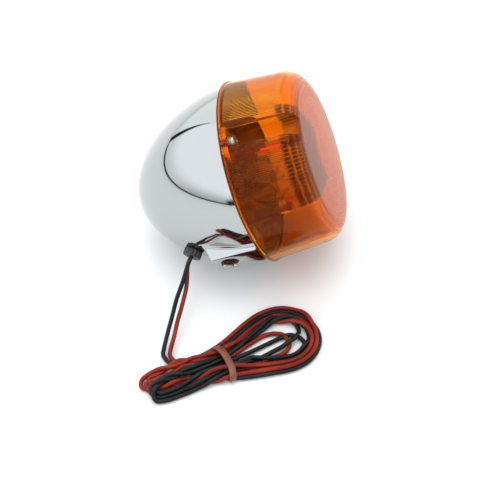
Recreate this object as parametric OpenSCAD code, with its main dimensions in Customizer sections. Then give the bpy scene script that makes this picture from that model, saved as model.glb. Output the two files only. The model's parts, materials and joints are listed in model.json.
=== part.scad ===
// Bullet turn signal for a motorcycle, lying on its side on a flat surface.
// Millimetres. +Z is up and the surface is Z = 0. +X is the way the lens points, seen from above.
// The lamp's own pieces are drawn about the lamp's axis, with the seam between housing and lens
// at Z = 0, the lens towards +Z and the mounting boss towards +Y, and on_table() lays them down.

/* [Lamp on the table] */
// Angle of the lamp's axis above the table
tilt = 22.2; // [15:0.1:30]
// Turn of the lamp about its own axis
roll = 14.9; // [0:0.1:25]

/* [Housing] */
// Radius of the housing at the seam
housing_r = 41.8; // [40.5:0.1:42.2]
// Length of the housing behind the seam
housing_len = 56.6; // [54:0.1:60]
// Wall of the casting
housing_wall = 2.4; // [2:0.1:2.6]

/* [Mounting boss] */
// Width of the boss
boss_w = 13; // [12:0.1:16]
// Distance of the boss's flat face from the lamp's axis
boss_face = 43.3; // [42.8:0.1:45]
// How far the boss runs behind the seam
boss_len = 23.7; // [22:0.1:26]
// Distance of the threaded hole behind the seam
stem_hole_at = 15.9; // [13:0.1:16.5]
// Nominal diameter of the threaded hole, 5/16 in
stem_hole_d = 7.94; // [6:0.01:8.5]
// Length of the threaded hole
stem_hole_len = 12.3; // [10:0.1:12.5]

/* [Lens] */
// Radius of the lens just above its bead
lens_r = 43; // [42.5:0.1:44]
// Radius of the lens where its front corner starts
lens_front_r = 40.8; // [40:0.1:41.5]
// Height of the lens at its front edge
lens_h = 34.8; // [33:0.1:37]
// Radius of the front corner
lens_corner = 9.7; // [8:0.1:10]
// Wall of the lens
lens_wall = 2.4; // [2:0.1:2.6]

/* [Lens screws] */
// Turn of the screw channels about the lamp's axis
channel_turn = 6; // [-10:1:10]
// Distance of each screw from the lamp's axis
screw_at = 36.6; // [36.3:0.1:36.9]
// Width of a screw channel
channel_w = 9; // [8.6:0.1:10]
// Height of a channel's floor above the seam
channel_floor = 3.2; // [2.8:0.1:4]

/* [Socket and bulb] */
// Bore of the bayonet socket
socket_bore_d = 15.5; // [15.4:0.05:15.8]
// Push needed to free the bulb
bulb_push = 2; // [1.5:0.1:2.2]
// Turn needed to free the bulb
bulb_turn = 24; // [15:1:28]

/* [Leads] */
// Diameter of a lead over its insulation
lead_d = 2.1; // [1.8:0.1:2.4]
// Diameter of the grommet's outer flange
grommet_d = 8.9; // [8:0.1:10]

/* [Hidden] */
$fn = 96;

chrome = [0.82, 0.84, 0.86];
amber = [0.95, 0.45, 0.08];
steel = [0.6, 0.61, 0.62];
brass = [0.78, 0.62, 0.3];
black = [0.07, 0.07, 0.07];
red = [0.62, 0.08, 0.06];
clear_glass = [0.9, 0.92, 0.92, 0.4];

// Housing: a bullet whose radius falls from the seam to the nose.
nose_power = 1.76;
side_power = 1.914;
outline_steps = 26;
seam_gap = 0.8;          // room for the gasket behind the lens
lug_r = 4;
lug_len = 14;
screw_hole_end = 12.4;
screw_hole_d = 4;
post_at = 20;
post_top = -28;
post_r = 4;
post_hole_d = 3;
grommet_at = 33;         // distance of the grommet behind the seam
grommet_neck_d = 5.8;

// Lens
bead_r = 43.3;
bead_h = 1.2;
face_rise = 0.8;
channel_wall = 2;
channel_back = screw_at - 3.6;
corner_z = lens_h - lens_corner;

// Lens screws
screw_d = 3.8;
screw_len = 15;
screw_head_d = 6.4;
screw_head_h = 2.2;
washer_h = 0.6;
washer_d = 7.2;

// Bracket and socket
strap_h = 1.2;
strap_top = post_top + strap_h;
socket_r = 8.5;
socket_mouth = -13;
socket_end = -45.5;
end_washer_h = 1.5;
plate_z = -35;           // back of the contact plate at rest
plate_h = 1.5;
stud_r = 2;
stud_top = -32.6;
stud_back = plate_z - 3.5;
stud_bore_r = 1.4;
stud_bore_top = -34.2;
red_start = stud_bore_top - bulb_push - 0.4;

// Bulb, with a cap of 15 mm
cap_r = 7.5;
cap_back = -31.5;
cap_front = -14.5;
pin_z = -22;
pin_r = 1;
pin_tip = 8.9;
slot_gap = 0.35;         // clearance round a locating pin
globe_r = 13;
globe_z = 6;
glass_wall = 0.7;
neck_r = 6.6;
coil_z = 8;
stem_top = -6.5;

// Table placement: the housing's lowest point touches the table, and the lamp's outline is centred.
function shell_r(z, r, l) = r * pow(1 - pow(min(-z / l, 1), nose_power), 1 / side_power);
function shell_pts(r, l) = [for (i = [0 : outline_steps])
    let (z = -l * sin(90 * i / outline_steps)) [shell_r(z, r, l), z]];
lift = max([for (i = [0 : 400]) let (z = -housing_len * i / 400)
    shell_r(z, housing_r, housing_len) * cos(tilt) - z * sin(tilt)]);
back_x = max([for (i = [0 : 400]) let (z = -housing_len * i / 400)
    shell_r(z, housing_r, housing_len) * sin(tilt) - z * cos(tilt)]);
front_x = corner_z * cos(tilt) + (lens_front_r - lens_corner) * sin(tilt) + lens_corner;
boss_y = boss_face * cos(roll) + (boss_w / 2 - 0.8) * sin(roll);
seam_at = [(back_x - front_x) / 2, (boss_y - bead_r) / 2, lift];

axis_dir = [cos(tilt), 0, sin(tilt)];
level_dir = [-sin(tilt), 0, cos(tilt)];
boss_dir = -cos(roll) * [0, 1, 0] - sin(roll) * level_dir;
side_dir = cos(roll) * level_dir - sin(roll) * [0, 1, 0];
function table(p) = seam_at + p.x * side_dir + p.y * boss_dir + p.z * axis_dir;

module on_table() {
    translate(seam_at) rotate([0, 90 - tilt, 0]) rotate([0, 0, 180 + roll]) children();
}

// Grommet: it sits square to the shell, on the boss's side.
grommet_y = shell_r(-grommet_at, housing_r, housing_len);
shell_slope = (shell_r(0.5 - grommet_at, housing_r, housing_len)
    - shell_r(-0.5 - grommet_at, housing_r, housing_len));
grommet_turn = atan(shell_slope);
grommet_out = [0, cos(grommet_turn), -sin(grommet_turn)];
flange_h = 3.4;
flange_sink = -0.02;    // the flange stands just clear of the shell
inner_flange_h = 1.2;
lobes = 12;

// Leads: points on the table's axes, from the grommet's face to the hank.
exit_at = table([0, grommet_y, -grommet_at] + (flange_h - flange_sink + 0.1) * grommet_out);
exit_dir = cos(grommet_turn) * boss_dir - sin(grommet_turn) * axis_dir;
exit_side = [-0.09, 0.45, -0.89];
black_exit = exit_at - lead_d * 0.6 * exit_side;
red_exit = exit_at + lead_d * 0.6 * exit_side;
black_route = [black_exit, black_exit + 4 * exit_dir, [-27.5, -44.5, 17], [-30.5, -52, 12.5],
               [-32.5, -59, 8.5], [-34.5, -66, 5], [-36, -72.5, 2.5], [-36.5, -77, 1.4], [-35.5, -81, 1.1],
               [-34.5, -83.5, 1.1]];
red_route = [red_exit, red_exit + 4 * exit_dir, [-26, -45.5, 14.5], [-28, -54, 10.5],
             [-30, -61, 7.5], [-31.5, -68, 5], [-33, -74, 3], [-33.3, -78.5, 1.6], [-32.5, -81, 1.1],
             [-31.5, -82.5, 1.1]];

// Hank: the folded leads, tied at the waist, wider in the loop.
hank_tail = [-38, -93];
hank_waist = [-8, -81];
hank_loop = [18, -66];
hank_tail_r = 9.5;
hank_waist_r = 9.6;
hank_loop_r = 19.5;
hank_h = 5.4;
band_w = 4;
band_t = 1.1;
band_turn = 26;

// One round cord swept along its route. Each ring stands square to the route.
function unit(v) = v / norm(v);
function spline(p, i, t) = let (a = p[max(i - 1, 0)], b = p[i], c = p[i + 1], d = p[min(i + 2, len(p) - 1)])
    0.5 * (2 * b + (c - a) * t + (2 * a - 5 * b + 4 * c - d) * t * t + (3 * b - 3 * c + d - a) * t * t * t);
function smooth(p, n) = [for (i = [0 : len(p) - 2], k = [0 : n - 1]) spline(p, i, k / n), p[len(p) - 1]];
function heading(p, i) = unit(p[min(i + 1, len(p) - 1)] - p[max(i - 1, 0)]);
module cord(route, d, per_step, across) {
    sides = 8;
    p = smooth(route, per_step);
    rings = [for (i = [0 : len(p) - 1])
        let (t = heading(p, i), u = unit(cross(t, across)), v = cross(t, u))
        [for (k = [0 : sides - 1]) p[i] + d / 2 * (cos(45 * k) * u + sin(45 * k) * v)]];
    flat_points = [for (ring = rings) each ring];
    polyhedron(flat_points, concat(
        [[for (k = [0 : sides - 1]) sides - 1 - k]],
        [for (i = [0 : len(p) - 2], k = [0 : sides - 1])
            let (n = (k + 1) % sides) [sides * i + k, sides * i + n, sides * (i + 1) + n, sides * (i + 1) + k]],
        [[for (k = [0 : sides - 1]) sides * (len(p) - 1) + k]]));
}

module ring(r_out, r_in, z, h) {
    translate([0, 0, z]) difference() {
        cylinder(r = r_out, h = h);
        translate([0, 0, -1]) cylinder(r = r_in, h = h + 2);
    }
}

module at_screws() {
    for (side = [0, 180]) rotate([0, 0, channel_turn + side]) translate([screw_at, 0, 0]) children();
}

module shell_solid(r, l) {
    rotate_extrude() polygon(concat([[0, 0]], shell_pts(r, l)));
}

module boss_blank() {
    intersection() {
        // seen along the lamp's axis, with small chamfers on the flat face
        translate([0, 0, -boss_len - 10]) linear_extrude(boss_len + 10) polygon([
            [-boss_w / 2, boss_face - stem_hole_len], [boss_w / 2, boss_face - stem_hole_len],
            [boss_w / 2, boss_face - 0.8], [boss_w / 2 - 0.8, boss_face],
            [-boss_w / 2 + 0.8, boss_face], [-boss_w / 2, boss_face - 0.8]]);
        // seen from the side, with a slanted rear end
        rotate([0, -90, 0]) linear_extrude(boss_w + 2, center = true) polygon([
            [-seam_gap, boss_face - stem_hole_len - 1], [-seam_gap, boss_face + 1],
            [-boss_len, boss_face + 1], [-boss_len, boss_face - 1.2], [-boss_len - 3.6, 33],
            [-boss_len - 1, boss_face - stem_hole_len - 1]]);
    }
}

module housing() {
    color(chrome) on_table() difference() {
        union() {
            difference() {
                shell_solid(housing_r, housing_len);
                shell_solid(housing_r - housing_wall, housing_len - housing_wall);
            }
            boss_blank();
            intersection() {
                shell_solid(housing_r, housing_len);
                union() {
                    at_screws() translate([0, 0, -lug_len]) cylinder(r = lug_r, h = lug_len);
                    for (side = [-1, 1]) translate([side * post_at, 0, -housing_len])
                        cylinder(r = post_r, h = housing_len + post_top);
                }
            }
        }
        translate([0, 0, -seam_gap]) cylinder(r = 60, h = 10);
        at_screws() translate([0, 0, -screw_hole_end]) cylinder(d = screw_hole_d, h = screw_hole_end);
        for (side = [-1, 1]) translate([side * post_at, 0, post_top - 8]) cylinder(d = post_hole_d, h = 9);
        translate([0, 20, -stem_hole_at]) rotate([-90, 0, 0]) cylinder(d = stem_hole_d, h = 30);
        translate([0, grommet_y, -grommet_at]) rotate([-90 - grommet_turn, 0, 0])
            translate([0, 0, -8]) cylinder(d = grommet_neck_d, h = 12);
    }
}

function lens_pts(inset) = concat(
    [[0, -1 + min(inset, 1)], [lens_r - inset, -1 + min(inset, 1)]],
    [for (a = [0 : 15 : 75]) [lens_front_r - lens_corner + (lens_corner - inset) * cos(a),
                              corner_z + (lens_corner - inset) * sin(a)]],
    [[lens_front_r - lens_corner, lens_h - inset], [0, lens_h + face_rise - inset]]);

module lens_solid(inset) {
    rotate_extrude() polygon(lens_pts(inset));
}

module channel(grow) {
    for (side = [0, 180]) rotate([0, 0, channel_turn + side])
        translate([channel_back - grow, -channel_w / 2 - grow, channel_floor - 2 * grow])
            cube([20, channel_w + 2 * grow, 60]);
}

module lens() {
    color(amber) on_table() difference() {
        union() {
            difference() {
                union() {
                    lens_solid(0);
                    cylinder(r = bead_r, h = bead_h);
                }
                lens_solid(lens_wall);
            }
            intersection() {
                lens_solid(0.01);
                channel(channel_wall);
            }
        }
        translate([0, 0, -10]) cylinder(r = 60, h = 10);
        channel(0);
        at_screws() translate([0, 0, -1]) cylinder(d = screw_d + 0.6, h = 10);
    }
}

module lens_gasket() {
    color(black) on_table() ring(41.4, 39.6, -seam_gap, seam_gap);
}

module lens_screws() {
    color(steel) on_table() at_screws() {
        translate([0, 0, channel_floor + washer_h - screw_len]) cylinder(d = screw_d, h = screw_len);
        difference() {
            translate([0, 0, channel_floor + washer_h]) cylinder(d = screw_head_d, h = screw_head_h);
            for (turn = [0, 90]) rotate([0, 0, turn + 20])
                translate([-1.9, -0.45, channel_floor + washer_h + screw_head_h - 1.2]) cube([3.8, 0.9, 2]);
        }
    }
}

module lens_screw_washers() {
    color(steel) on_table() at_screws() ring(washer_d / 2, screw_d / 2, channel_floor, washer_h);
}

module socket_bracket() {
    color(steel) on_table() translate([0, 0, post_top]) difference() {
        union() {
            translate([-post_at, -5, 0]) cube([2 * post_at, 10, strap_h]);
            for (side = [-1, 1]) translate([side * post_at, 0, 0]) cylinder(r = 5, h = strap_h);
            cylinder(r = 12, h = strap_h);
            // tongue for the ground terminal
            translate([-4, 8, 0]) cube([8, 11, strap_h]);
        }
        translate([0, 0, -1]) cylinder(r = socket_r + 0.05, h = strap_h + 2);
        for (side = [-1, 1]) translate([side * post_at, 0, -1]) cylinder(d = 3.4, h = strap_h + 2);
    }
}

module bracket_screws() {
    color(steel) on_table() for (side = [-1, 1]) translate([side * post_at, 0, 0]) {
        translate([0, 0, strap_top - 7.5]) cylinder(d = 2.9, h = 7.5);
        difference() {
            translate([0, 0, strap_top]) cylinder(d = 5.6, h = 2);
            for (turn = [0, 90]) rotate([0, 0, turn + 30])
                translate([-1.6, -0.4, strap_top + 1]) cube([3.2, 0.8, 2]);
        }
    }
}

// The slot that a locating pin follows: in from the mouth, then round to the locked place.
module pin_slot() {
    slot_w = 2 * pin_r + 2 * slot_gap;
    low = pin_z - pin_r - bulb_push - slot_gap;
    reach = socket_r + 2;
    function arm(a, r) = [r * cos(a), r * sin(a)];
    edge = asin((pin_r + slot_gap) / (socket_r - 1));
    translate([0, 0, low]) linear_extrude(slot_w + bulb_push) polygon(concat([[0, 0]],
        [for (i = [0 : 8]) arm(-edge + (bulb_turn + 2 * edge) * i / 8, reach)]));
    rotate([0, 0, bulb_turn]) translate([0, -slot_w / 2, low]) cube([reach, slot_w, 30]);
}

module socket_shell() {
    color(steel) on_table() difference() {
        union() {
            ring(socket_r, socket_bore_d / 2, socket_end, socket_mouth - socket_end);
            ring(10.6, socket_r - 0.2, strap_top, 0.8);
            // lip that holds the end washer
            ring(socket_r, socket_bore_d / 2 - 1.2, socket_end, 0.8);
        }
        for (side = [0, 180]) rotate([0, 0, side]) pin_slot();
    }
}

module socket_end_washer() {
    color([0.35, 0.2, 0.12]) on_table()
        ring(socket_bore_d / 2 - 0.05, 1.6, socket_end + 0.8, end_washer_h);
}

module contact_spring() {
    color(steel) on_table() {
        low = socket_end + 0.8 + end_washer_h;
        turns = 4;
        steps = 10;
        r = 5.2;
        wire = 0.9;
        high = plate_z - low - wire - 0.04;
        route = [for (i = [0 : turns * steps]) let (a = 360 * i / steps)
            [r * cos(a), r * sin(a), low + wire / 2 + 0.02 + high * i / (turns * steps)]];
        cord(route, wire, 1, [0, 0, 1]);
    }
}

module contact_plate() {
    color([0.35, 0.2, 0.12]) on_table() ring(7.4, stud_r, plate_z, plate_h);
}

module contact_stud() {
    color(brass) on_table() {
        ring(stud_r, stud_bore_r, stud_back, stud_bore_top - stud_back);
        translate([0, 0, stud_bore_top]) cylinder(r = stud_r, h = stud_top - 0.4 - stud_bore_top);
        translate([0, 0, stud_top - 0.4]) cylinder(r = stud_r - 0.3, h = 0.4);
    }
}

module bulb_cap() {
    color(brass) on_table() rotate_extrude() polygon([
        [3.4, cap_back], [cap_r - 1, cap_back], [cap_r, cap_back + 1], [cap_r, cap_front],
        [cap_r - 0.4, cap_front], [cap_r - 0.4, cap_back + 1.2], [cap_r - 1.2, cap_back + 0.4],
        [3.4, cap_back + 0.4]]);
}

module bulb_pins() {
    color(brass) on_table() for (side = [0, 180]) rotate([0, 0, side])
        translate([cap_r, 0, pin_z]) rotate([0, 90, 0]) cylinder(r = pin_r, h = pin_tip - cap_r);
}

module bulb_insulator() {
    color(black) on_table() ring(3.4, 1.6, cap_back - 0.3, 1.5);
}

module bulb_contact() {
    color(steel) on_table() rotate_extrude() polygon([
        [0, cap_back + 1], [1.6, cap_back + 1], [1.6, cap_back - 0.4], [1.1, stud_top + 0.2],
        [0.6, stud_top], [0, stud_top]]);
}

module bulb_glass() {
    top_a = asin(neck_r / globe_r);
    color(clear_glass) on_table() rotate_extrude() polygon(concat(
        [[neck_r - glass_wall, cap_back + 4], [neck_r, cap_back + 4]],
        [for (i = [0 : 16]) let (a = 180 - top_a - (180 - top_a) * i / 16)
            [globe_r * sin(a), globe_z + globe_r * cos(a)]],
        [for (i = [0 : 16]) let (a = (180 - top_a) * i / 16)
            [(globe_r - glass_wall) * sin(a), globe_z + (globe_r - glass_wall) * cos(a)]]));
}

module bulb_stem() {
    color(clear_glass) on_table() {
        translate([0, 0, cap_back + 6]) cylinder(r = 2.6, h = stem_top - cap_back - 11);
        translate([0, 0, stem_top - 5]) cylinder(r1 = 2.6, r2 = 1.2, h = 5);
    }
}

module bulb_filament() {
    color(steel) on_table() {
        for (side = [-1, 1]) translate([side * 0.8, 0, stem_top + 0.1]) rotate([0, side * 14, 0])
            cylinder(r = 0.3, h = coil_z - stem_top + 0.4);
        translate([-4.4, 0, coil_z + 0.2]) rotate([0, 90, 0]) cylinder(r = 0.5, h = 8.8);
    }
}

module ground_terminal() {
    color(brass) on_table() translate([0, 14.5, strap_top]) {
        ring(3.2, 1.2, 0, 0.8);
        translate([-1.4, 2.8, 0]) cube([2.8, 5, 0.8]);
        // rivet through the tongue
        translate([0, 0, 0]) cylinder(r = 1.2, h = 1.6);
        cylinder(r = 2.2, h = 1.3);
    }
}

// Inner leads, in the lamp's own frame: stud to grommet, and terminal to grommet.
inner_exit = [0, grommet_y, -grommet_at] - (housing_wall + inner_flange_h + 0.9) * grommet_out;
module inner_red_lead() {
    color(red) on_table() cord([[0, 0, red_start], [0, 0, -41], [0, 0, -46], [0, 3.5, -50], [0, 10.5, -49],
        [0, 17, -44], [-0.6, 20, -37.5], [-1.2, 22.3, -31.5], inner_exit + [-1.2, -3.4, 1.9],
        inner_exit + [-1.2, 0, 0]], lead_d, 2, [1, 0, 0]);
}

module inner_black_lead() {
    lead_z = strap_top + 1 + lead_d / 2;
    color(black) on_table() cord([[0, 18.6, lead_z], [0.3, 21.8, lead_z], [1, 24.4, lead_z - 1.6],
        inner_exit + [1.2, -3.1, 1.7], inner_exit + [1.2, 0, 0]], lead_d, 2, [1, 0, 0]);
}

module wire_grommet() {
    color(black) on_table() translate([0, grommet_y, -grommet_at]) rotate([-90 - grommet_turn, 0, 0]) {
        // scalloped flange outside the shell
        translate([0, 0, -flange_sink]) linear_extrude(flange_h) difference() {
            circle(d = grommet_d);
            for (i = [0 : lobes - 1]) rotate(360 * i / lobes) translate([grommet_d / 2 + 0.25, 0]) circle(r = 0.7);
        }
        translate([0, 0, -housing_wall - 0.5]) cylinder(d = grommet_neck_d - 0.04, h = housing_wall + 0.6);
        translate([0, 0, -housing_wall - 0.5 - inner_flange_h]) cylinder(d = 7.4, h = inner_flange_h);
    }
}

module black_lead() {
    color(black) cord(black_route, lead_d, 2, [1, 0, 0]);
}

module red_lead() {
    color(red) cord(red_route, lead_d, 2, [1, 0, 0]);
}

module hank_outline() {
    hull() {
        translate(hank_tail) circle(r = hank_tail_r);
        translate(hank_waist) circle(r = hank_waist_r);
    }
    hull() {
        translate(hank_waist) circle(r = hank_waist_r);
        translate(hank_loop) circle(r = hank_loop_r);
    }
}

module lead_hank() {
    color(red) linear_extrude(hank_h) hank_outline();
}

module hank_band() {
    color([0.72, 0.4, 0.2]) translate([hank_waist.x, hank_waist.y, 0]) rotate([0, 0, band_turn])
        difference() {
            translate([-band_w / 2, -hank_waist_r - band_t, 0])
                cube([band_w, 2 * (hank_waist_r + band_t), hank_h + band_t]);
            translate([-band_w, -hank_waist_r, 0]) cube([2 * band_w, 2 * hank_waist_r, hank_h]);
        }
}

housing();
lens();
lens_gasket();
lens_screws();
lens_screw_washers();
socket_bracket();
bracket_screws();
socket_shell();
socket_end_washer();
contact_spring();
contact_plate();
contact_stud();
bulb_cap();
bulb_pins();
bulb_insulator();
bulb_contact();
bulb_glass();
bulb_stem();
bulb_filament();
ground_terminal();
inner_red_lead();
inner_black_lead();
wire_grommet();
black_lead();
red_lead();
lead_hank();
hank_band();
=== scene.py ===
# %% [markdown]
# # Turn signal indicator, looks around a fixed frame
#
# The lamp lies on its side on a table: a chromed bullet housing, an amber drum lens, and two thin
# leads folded into a hank. The shapes and joints come packed from CAD. This file gives each piece its
# finished surface and its material, and puts every piece on the CAD body that it moves with.

# %% Load the frame
import json
import math

import bmesh
import bpy
import numpy as np
from mathutils import Matrix, Vector


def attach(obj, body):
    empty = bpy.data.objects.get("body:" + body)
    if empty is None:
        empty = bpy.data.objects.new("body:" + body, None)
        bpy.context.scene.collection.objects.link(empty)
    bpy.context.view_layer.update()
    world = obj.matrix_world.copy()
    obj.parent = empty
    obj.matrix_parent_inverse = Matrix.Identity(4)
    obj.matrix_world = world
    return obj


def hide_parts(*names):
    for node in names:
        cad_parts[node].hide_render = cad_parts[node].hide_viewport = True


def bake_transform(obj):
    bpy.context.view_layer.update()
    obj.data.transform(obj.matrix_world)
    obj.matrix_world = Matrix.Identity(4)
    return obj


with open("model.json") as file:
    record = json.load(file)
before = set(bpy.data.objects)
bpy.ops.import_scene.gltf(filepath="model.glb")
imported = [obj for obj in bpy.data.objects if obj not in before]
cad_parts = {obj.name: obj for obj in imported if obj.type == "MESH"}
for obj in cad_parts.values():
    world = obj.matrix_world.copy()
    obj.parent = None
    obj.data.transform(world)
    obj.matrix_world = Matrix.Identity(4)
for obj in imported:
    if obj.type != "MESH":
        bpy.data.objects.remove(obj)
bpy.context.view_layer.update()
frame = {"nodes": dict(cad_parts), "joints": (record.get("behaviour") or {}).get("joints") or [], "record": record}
record = frame["record"]
nodes = frame["nodes"]
mounts = {m["name"]: m for m in record["mounts"]}
joints = {j["name"]: j for j in frame["joints"]}
MM = 0.001
print("CAD nodes:", len(nodes), "joints:", sorted(joints))

# %% [markdown]
# ## The lamp's own axes
#
# The lamp is tilted on the table, so its pieces are easier to describe about the lamp's axis: `z` runs
# from the seam towards the lens, `y` towards the mounting boss and `x` towards the upper screw. The
# frame already holds these directions: the lens comes off along `z`, and the threaded hole runs along
# `y`. The bulb's pins turn about a point on the axis, a known distance behind the seam.

# %% Lamp axes
AXIS = Vector(joints["lens_off"]["axis"]).normalized()
BOSS = Vector(mounts["stem_thread"]["axis"]).normalized()
SIDE = BOSS.cross(AXIS).normalized()
PIN_Z = -22.0
SEAM = Vector(joints["bulb_turn"]["pos_m"]) - PIN_Z * MM * AXIS


def lamp_array(points):
    """Points on the lamp's axes, in millimetres, as points in the scene, many at once."""
    axes = np.array([SIDE, BOSS, AXIS])
    return np.array(SEAM) + MM * np.asarray(points, float) @ axes


print("seam centre", [round(v, 4) for v in SEAM], "axis", [round(v, 3) for v in AXIS])

# %% [markdown]
# ## Camera
#
# A product shot from well above: the camera looks down at 50 degrees along +Y, from far enough away
# that the round lens shows almost no perspective.

# %% Camera
CAMERA_RISE = math.radians(50)
CAMERA_FAR = 0.686
AIM = SEAM + MM * Vector((-6.1, -24.6, -20.7))
back = Vector((0, -math.cos(CAMERA_RISE), math.sin(CAMERA_RISE)))
camera_data = bpy.data.cameras.new("camera")
camera_data.lens = 110.25
camera_data.sensor_width = 36
camera = bpy.data.objects.new("camera", camera_data)
camera.location = AIM + CAMERA_FAR * back
camera.rotation_euler = (math.pi / 2 - CAMERA_RISE, 0, 0)
bpy.context.scene.collection.objects.link(camera)
bpy.context.scene.camera = camera
print("camera at", [round(v, 3) for v in camera.location])

# %% [markdown]
# ## Node helpers
#
# Materials and Geometry Nodes trees are both graphs of sockets. `Value` wraps one socket, so that
# `1 - mask * 0.5` adds the Math nodes by itself, and `Graph.node` adds any other node from its type,
# its settings and the values of its sockets.

# %% Node helpers
class Value:
    """One output socket, used like a number in sums."""

    def __init__(self, graph, socket):
        self.graph = graph
        self.socket = socket

    def math(self, operation, *others):
        return self.graph.node("ShaderNodeMath", {"operation": operation}, dict(enumerate((self, *others))))

    def __add__(self, other):
        return self.math("ADD", other)

    def __radd__(self, other):
        return self.math("ADD", other)

    def __sub__(self, other):
        return self.math("SUBTRACT", other)

    def __rsub__(self, other):
        return self.graph.node("ShaderNodeMath", {"operation": "SUBTRACT"}, {0: other, 1: self})

    def __mul__(self, other):
        return self.math("MULTIPLY", other)

    def __rmul__(self, other):
        return self.math("MULTIPLY", other)

    def __truediv__(self, other):
        return self.math("DIVIDE", other)

    def band(self, low, high, soft):
        """1 where the value lies between low and high, with edges that wide."""
        up = self.graph.ramp(self, low - soft, low + soft)
        down = self.graph.ramp(self, high - soft, high + soft)
        return up - down


class Graph:
    """A node tree that grows as values are asked for."""

    def __init__(self, tree):
        self.tree = tree

    def node(self, kind, settings=None, inputs=None, out=0):
        """A new node: its settings are set first, then its inputs, and one output comes back."""
        made = self.tree.nodes.new(kind)
        for key, value in (settings or {}).items():
            setattr(made, key, value)
        for key, value in (inputs or {}).items():
            socket = made.inputs[key]
            if isinstance(value, Value):
                self.tree.links.new(value.socket, socket)
            else:
                socket.default_value = value
        return Value(self, made.outputs[out])

    def ramp(self, value, low, high, to_low=0.0, to_high=1.0):
        """The value carried smoothly from low..high to to_low..to_high."""
        return self.node("ShaderNodeMapRange", {"interpolation_type": "SMOOTHSTEP"},
                         {0: value, 1: low, 2: high, 3: to_low, 4: to_high})

    def mix(self, amount, a, b, blend="MIX"):
        """Colour a where amount is 0 and colour b where it is 1."""
        a, b = ((*c, 1) if isinstance(c, tuple) and len(c) == 3 else c for c in (a, b))
        return self.node("ShaderNodeMix", {"data_type": "RGBA", "blend_type": blend},
                         {0: amount, 6: a, 7: b}, out=2)

    def noise(self, place, scale, detail=3.0, rough=0.5):
        return self.node("ShaderNodeTexNoise", {},
                         {"Vector": place, "Scale": scale, "Detail": detail, "Roughness": rough})

    def object_place(self):
        return self.node("ShaderNodeTexCoord", out=3)

    def dot(self, vector, direction):
        return self.node("ShaderNodeVectorMath", {"operation": "DOT_PRODUCT"},
                         {0: vector, 1: direction}, out=1)

    def lamp_place(self):
        """The shaded point on the lamp's axes, in millimetres: x, y, z values."""
        place = self.object_place()
        off = self.node("ShaderNodeVectorMath", {"operation": "SUBTRACT"}, {0: place, 1: SEAM})
        return [self.dot(off, direction / MM) for direction in (SIDE, BOSS, AXIS)]


def material(name, paint, **constants):
    """A new material. paint(graph) returns what varies, by socket name; constants are set as they are."""
    made = bpy.data.materials.new(name)
    made.use_nodes = True
    graph = Graph(made.node_tree)
    shader = made.node_tree.nodes["Principled BSDF"]
    for key, value in constants.items():
        shader.inputs[key.replace("_", " ")].default_value = value
    for key, value in paint(graph).items():
        made.node_tree.links.new(value.socket, shader.inputs[key])
    return made


def add_haze(made, share, color, roughness):
    """Mixes a milky shader into a material. share(graph) returns how much of it shows."""
    tree = made.node_tree
    graph = Graph(tree)
    clear = Value(graph, tree.nodes["Principled BSDF"].outputs["BSDF"])
    milky = graph.node("ShaderNodeBsdfPrincipled", {}, {
        "Base Color": color, "Roughness": roughness, "Specular IOR Level": 0.25})
    mixed = graph.node("ShaderNodeMixShader", {}, {0: share(graph), 1: clear, 2: milky})
    tree.links.new(mixed.socket, tree.nodes["Material Output"].inputs["Surface"])


def bump(graph, height, distance, strength):
    return graph.node("ShaderNodeBump", {},
                      {"Height": height, "Distance": distance, "Strength": strength})


print("node helpers ready")

# %% [markdown]
# ## Materials
#
# Chrome plate is a mirror whose roughness drifts a little, where fingers and the cloth have been. The
# lens is a clear amber plastic: light passes through it and is tinted at each surface, so two walls look
# redder than one. The leads have a soft vinyl skin with a slight orange-peel.

# %% Materials of metal
def paint_chrome(graph):
    """Chrome plate: nearly a mirror, with a faint haze that drifts."""
    place = graph.object_place()
    haze = graph.noise(place, 35, 4.0)
    fine = graph.noise(place, 900, 2.0)
    color = graph.mix(haze, (0.405, 0.42, 0.42), (0.45, 0.467, 0.467))
    return {"Base Color": color,
            "Roughness": graph.ramp(haze, 0.3, 0.8, 0.035, 0.075),
            "Normal": bump(graph, fine, 0.000004, 0.15)}


def worn_metal(name, light, dark, scale, rough, metallic=1.0):
    """A metal whose colour and roughness drift between two tones, with a fine grain."""
    def paint(graph):
        place = graph.object_place()
        cloud = graph.noise(place, scale, 5.0, 0.6)
        grain = graph.noise(place, scale * 12, 3.0)
        return {"Base Color": graph.mix(graph.ramp(cloud, 0.35, 0.7), light, dark),
                "Roughness": graph.ramp(cloud, 0.3, 0.75, rough * 0.7, rough * 1.3),
                "Normal": bump(graph, grain, 0.00002, 0.4)}
    return material(name, paint, Metallic=metallic)


chrome = material("chrome_plate", paint_chrome, Metallic=1.0)
# The zinc's two tones are set dark as painted shade for the screw heads in the screw channels; every zinc part
# gets the same colours.
zinc = worn_metal("zinc_plate_painted_shade", (0.46, 0.45, 0.43), (0.26, 0.26, 0.26), 260, 0.34)
brass = worn_metal("brass", (0.80, 0.62, 0.30), (0.55, 0.38, 0.16), 240, 0.28)
raw_thread = worn_metal("cut_thread", (0.20, 0.14, 0.09), (0.07, 0.05, 0.035), 300, 0.45, 0.7)
raw_casting = worn_metal("raw_casting", (0.42, 0.40, 0.37), (0.24, 0.23, 0.21), 160, 0.55, 0.6)
spring_steel = worn_metal("spring_steel", (0.52, 0.53, 0.55), (0.30, 0.30, 0.32), 300, 0.25)
solder = worn_metal("solder", (0.68, 0.68, 0.68), (0.45, 0.45, 0.46), 500, 0.35)
tungsten = worn_metal("tungsten", (0.42, 0.42, 0.44), (0.22, 0.22, 0.24), 900, 0.35)
copper = worn_metal("copper_strand", (0.85, 0.46, 0.28), (0.55, 0.26, 0.14), 900, 0.3)
metals = (chrome, zinc, brass, raw_thread, raw_casting, spring_steel, solder, tungsten, copper)
print("metals:", [m.name for m in metals])


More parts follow.
